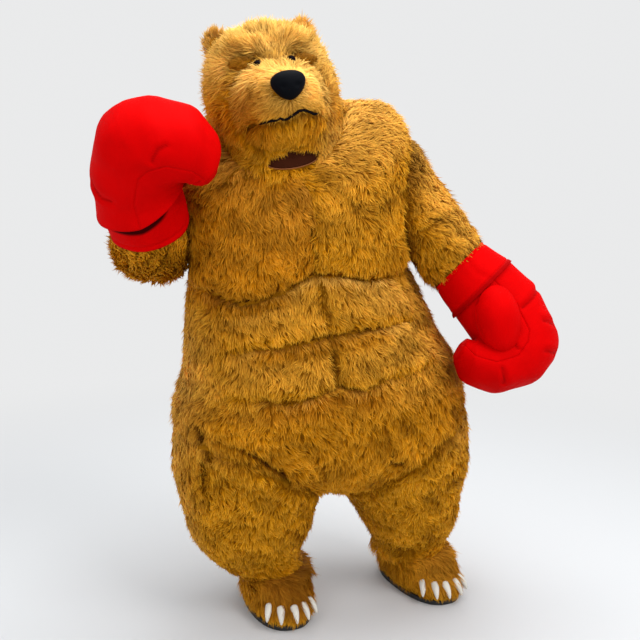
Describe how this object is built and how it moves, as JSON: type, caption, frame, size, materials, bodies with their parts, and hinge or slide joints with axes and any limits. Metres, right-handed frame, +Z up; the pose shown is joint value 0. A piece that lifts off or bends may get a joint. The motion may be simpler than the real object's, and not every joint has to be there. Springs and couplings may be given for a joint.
{
  "type": "bear mascot costume",
  "caption": "Worn bear mascot costume: a hollow padded fur suit with a fixed bear head, stuffed red boxing gloves and clawed shoe feet, held up by its wearer's shoulders.",
  "frame": {"origin": "the shoulder yoke, inside the suit between the wearer's shoulders, where the wearer carries it", "axes": "+Z up, -Y the way the suit faces, +X the suit's own left"},
  "size_m": [1.5267, 0.8604, 2.0848],
  "materials": {
    "long_pile_fur": "long golden pile",
    "short_pile_fur": "short orange-brown pile",
    "red_padded_cloth": "smooth satin padded cloth",
    "black_gloss": "gloss",
    "black_cloth": "matt",
    "brown_mesh": "open see-through mesh",
    "black_rubber": "matt",
    "ivory_resin": "satin"
  },
  "bodies": {
    "root": {"abs_lower_left": "long_pile_fur", "abs_lower_right": "long_pile_fur", "abs_upper_left": "long_pile_fur", "abs_upper_right": "long_pile_fur", "back_left": "long_pile_fur", "back_placket": "long_pile_fur", "back_right": "long_pile_fur", "belly": "long_pile_fur", "chest_left": "long_pile_fur", "chest_right": "long_pile_fur", "claw_left_1": "ivory_resin", "claw_left_2": "ivory_resin", "claw_left_3": "ivory_resin", "claw_left_4": "ivory_resin", "claw_left_5": "ivory_resin", "claw_right_1": "ivory_resin", "claw_right_2": "ivory_resin", "claw_right_3": "ivory_resin", "claw_right_4": "ivory_resin", "claw_right_5": "ivory_resin", "ear_left": "long_pile_fur", "ear_right": "long_pile_fur", "eye_left": "black_gloss", "eye_patch_left": "short_pile_fur", "eye_patch_right": "short_pile_fur", "eye_right": "black_gloss", "face": "long_pile_fur", "flank_left": "long_pile_fur", "flank_right": "long_pile_fur", "foot_heel_left": "long_pile_fur", "foot_heel_right": "long_pile_fur", "foot_vamp_left": "long_pile_fur", "foot_vamp_right": "long_pile_fur", "glove_back_left": "red_padded_cloth", "glove_back_right": "red_padded_cloth", "glove_cuff_left": "red_padded_cloth", "glove_cuff_right": "red_padded_cloth", "glove_palm_left": "red_padded_cloth", "glove_palm_right": "red_padded_cloth", "glove_thumb_left": "red_padded_cloth", "glove_thumb_right": "red_padded_cloth", "head_left": "long_pile_fur", "head_right": "long_pile_fur", "jaw": "long_pile_fur", "leg_left_back": "long_pile_fur", "leg_left_front": "long_pile_fur", "leg_right_back": "long_pile_fur", "leg_right_front": "long_pile_fur", "mouth": "black_cloth", "muzzle": "long_pile_fur", "neck_front": "long_pile_fur", "nose": "black_gloss", "sleeve_left_inner": "long_pile_fur", "sleeve_left_outer": "long_pile_fur", "sleeve_right_inner": "long_pile_fur", "sleeve_right_outer": "long_pile_fur", "sole_left": "black_rubber", "sole_right": "black_rubber", "vision_panel": "brown_mesh"}
  },
  "joints": []
}
